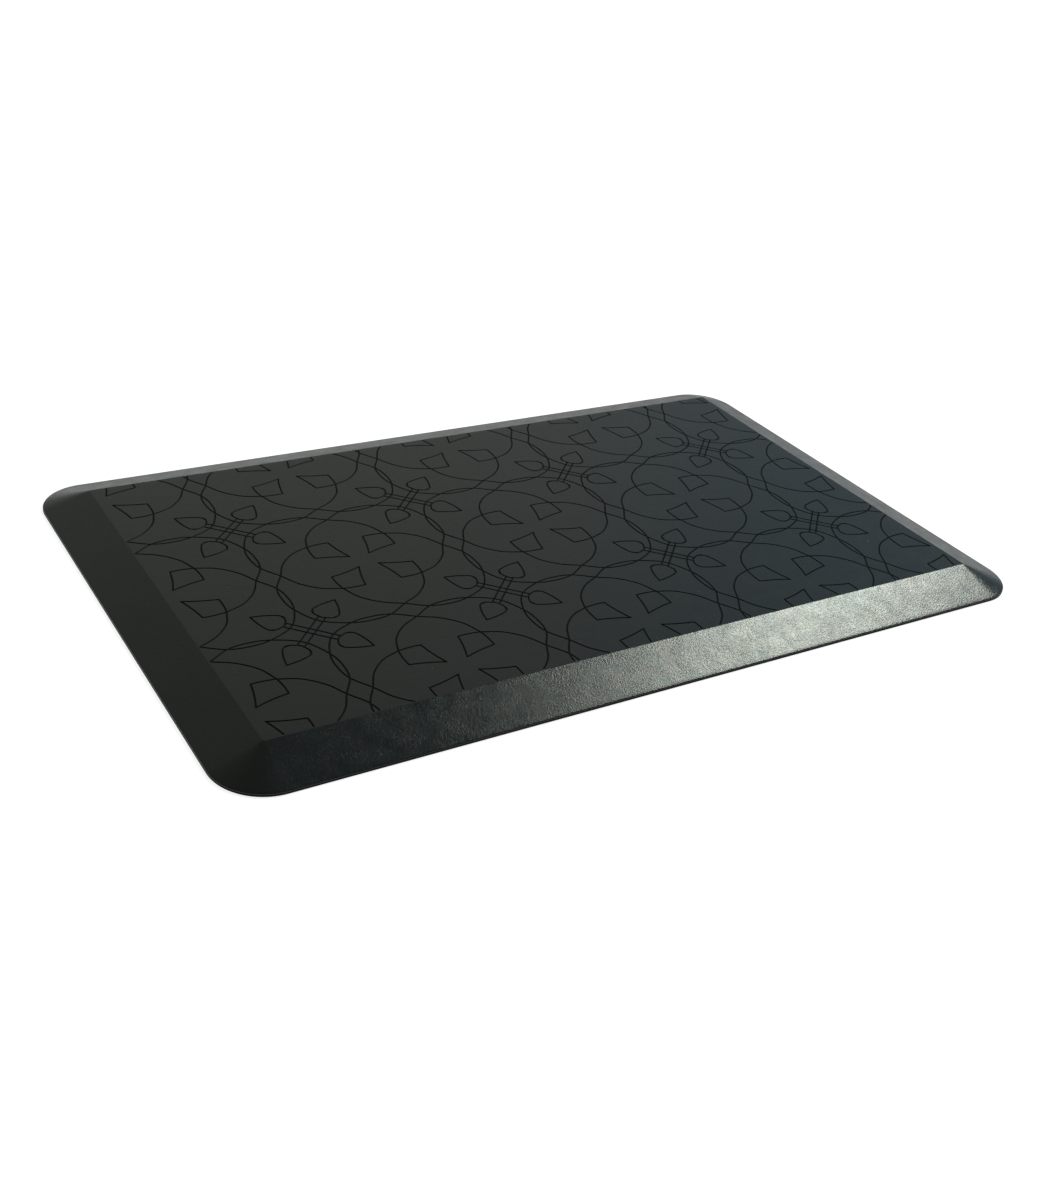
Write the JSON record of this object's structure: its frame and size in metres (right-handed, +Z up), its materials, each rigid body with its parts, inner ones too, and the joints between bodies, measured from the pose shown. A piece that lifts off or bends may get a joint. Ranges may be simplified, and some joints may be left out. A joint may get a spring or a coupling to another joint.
{
  "type": "anti-fatigue standing mat",
  "caption": "Rectangular cushioned standing mat with rounded corners, wide bevelled edges and an engraved flat top.",
  "frame": {"origin": "under the middle of the mat, at floor level", "axes": "+X along the long side, +Y along the short side, +Z up through the thickness"},
  "size_m": [0.813, 0.508, 0.018],
  "materials": {
    "skin": "satin moulded polyurethane, fine grain",
    "foam": "open-cell foam, matt",
    "base": "matt non-slip rubber"
  },
  "bodies": {
    "root": {"top_skin": "skin", "foam_core": "foam", "base_sheet": "base"}
  },
  "joints": []
}
